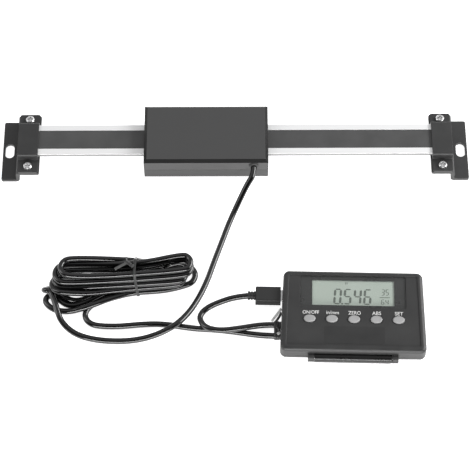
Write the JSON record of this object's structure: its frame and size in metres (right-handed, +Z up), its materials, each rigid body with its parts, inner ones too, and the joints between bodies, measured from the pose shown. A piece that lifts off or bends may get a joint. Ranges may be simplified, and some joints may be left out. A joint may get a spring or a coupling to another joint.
{
  "type": "digital linear scale",
  "caption": "Digital linear scale: a sliding reading head on an aluminium beam held by slotted end brackets, with a corded remote display that has push buttons and a folding stand.",
  "frame": {"origin": "centre of the left mounting slot, on the plane that the brackets' feet stand on", "axes": "+X along the beam towards the other bracket, +Y away from the display, +Z up out of the mounting plane"},
  "size_m": [0.277, 0.1645, 0.021],
  "materials": {
    "beam": "satin anodised",
    "scale_strip": "dark coated strip",
    "bracket": "black powder coat",
    "clamp": "black powder coat",
    "screw": "bright zinc",
    "head_cover": "charcoal satin",
    "head_base": "charcoal satin",
    "shoe": "natural acetal",
    "spring": "spring steel",
    "board": "circuit board",
    "chip": "moulded package",
    "connector": "moulded connector",
    "grommet": "soft bush",
    "case": "fine textured",
    "lens": "clear window",
    "lcd": "grey liquid crystal glass",
    "strips": "conductive rubber",
    "mat": "silicone",
    "button": "light grey silicone",
    "socket": "plated shell",
    "cell": "plated can",
    "contact": "plated contact",
    "holder": "moulded ring",
    "pin": "ground pin",
    "cord": "glossy jacket",
    "plug": "satin overmould",
    "tie": "coated wire"
  },
  "bodies": {
    "scale_and_display": {"beam": "beam", "scale_strip": "scale_strip", "left_bracket": "bracket", "right_bracket": "bracket", "left_clamp": "clamp", "right_clamp": "clamp", "left_clamp_screws": "screw", "right_clamp_screws": "screw", "display_front_cover": "case", "display_back_cover": "case", "display_lens": "lens", "lcd_panel": "lcd", "lcd_connector_strips": "strips", "display_board": "board", "keypad_mat": "mat", "usb_socket": "socket", "battery": "cell", "battery_clip": "contact", "battery_holder": "holder", "case_screws": "screw", "stand_hinge_pin": "pin", "cord_head_lead": "cord", "cord_hank": "cord", "cord_display_lead": "cord", "plug_overmould": "plug", "plug_shell": "socket", "plug_strain_relief": "plug", "hank_tie": "tie", "loop_tie": "tie"},
    "reading_head": {"head_cover": "head_cover", "head_base": "head_base", "front_guide_shoe": "shoe", "rear_guide_shoe": "shoe", "gib_spring": "spring", "sensor_plate": "board", "head_board": "board", "board_chips": "chip", "head_connector": "connector", "cable_grommet": "grommet", "head_screws": "screw"},
    "tilt_stand": {"tilt_stand": "case"},
    "battery_door": {"battery_door": "case"},
    "button_on_off": {"button_on_off": "button"},
    "button_unit": {"button_unit": "button"},
    "button_zero": {"button_zero": "button"},
    "button_abs": {"button_abs": "button"},
    "button_set": {"button_set": "button"}
  },
  "joints": [
    {"name": "head_slide", "type": "slide", "parent": "scale_and_display", "child": "reading_head", "axis": [1, 0, 0], "range_m": [-0.0617, 0.0958]},
    {"name": "stand_hinge", "type": "hinge", "parent": "scale_and_display", "child": "tilt_stand", "pos_m": [0.19991, -0.14099, 0.0074], "axis": [-0.9997, 0.0262, 0], "range_deg": [0, 75]},
    {"name": "battery_door_slide", "type": "slide", "parent": "scale_and_display", "child": "battery_door", "axis": [0.0262, 0.9997, 0], "range_m": [0, 0.024]},
    {"name": "button_on_off_press", "type": "slide", "parent": "scale_and_display", "child": "button_on_off", "axis": [0, 0, -1], "range_m": [0, 0.0005], "stiffness_N_per_m": 1200, "springref_m": -0.0003},
    {"name": "button_unit_press", "type": "slide", "parent": "scale_and_display", "child": "button_unit", "axis": [0, 0, -1], "range_m": [0, 0.0005], "stiffness_N_per_m": 1200, "springref_m": -0.0003},
    {"name": "button_zero_press", "type": "slide", "parent": "scale_and_display", "child": "button_zero", "axis": [0, 0, -1], "range_m": [0, 0.0005], "stiffness_N_per_m": 1200, "springref_m": -0.0003},
    {"name": "button_abs_press", "type": "slide", "parent": "scale_and_display", "child": "button_abs", "axis": [0, 0, -1], "range_m": [0, 0.0005], "stiffness_N_per_m": 1200, "springref_m": -0.0003},
    {"name": "button_set_press", "type": "slide", "parent": "scale_and_display", "child": "button_set", "axis": [0, 0, -1], "range_m": [0, 0.0005], "stiffness_N_per_m": 1200, "springref_m": -0.0003}
  ]
}
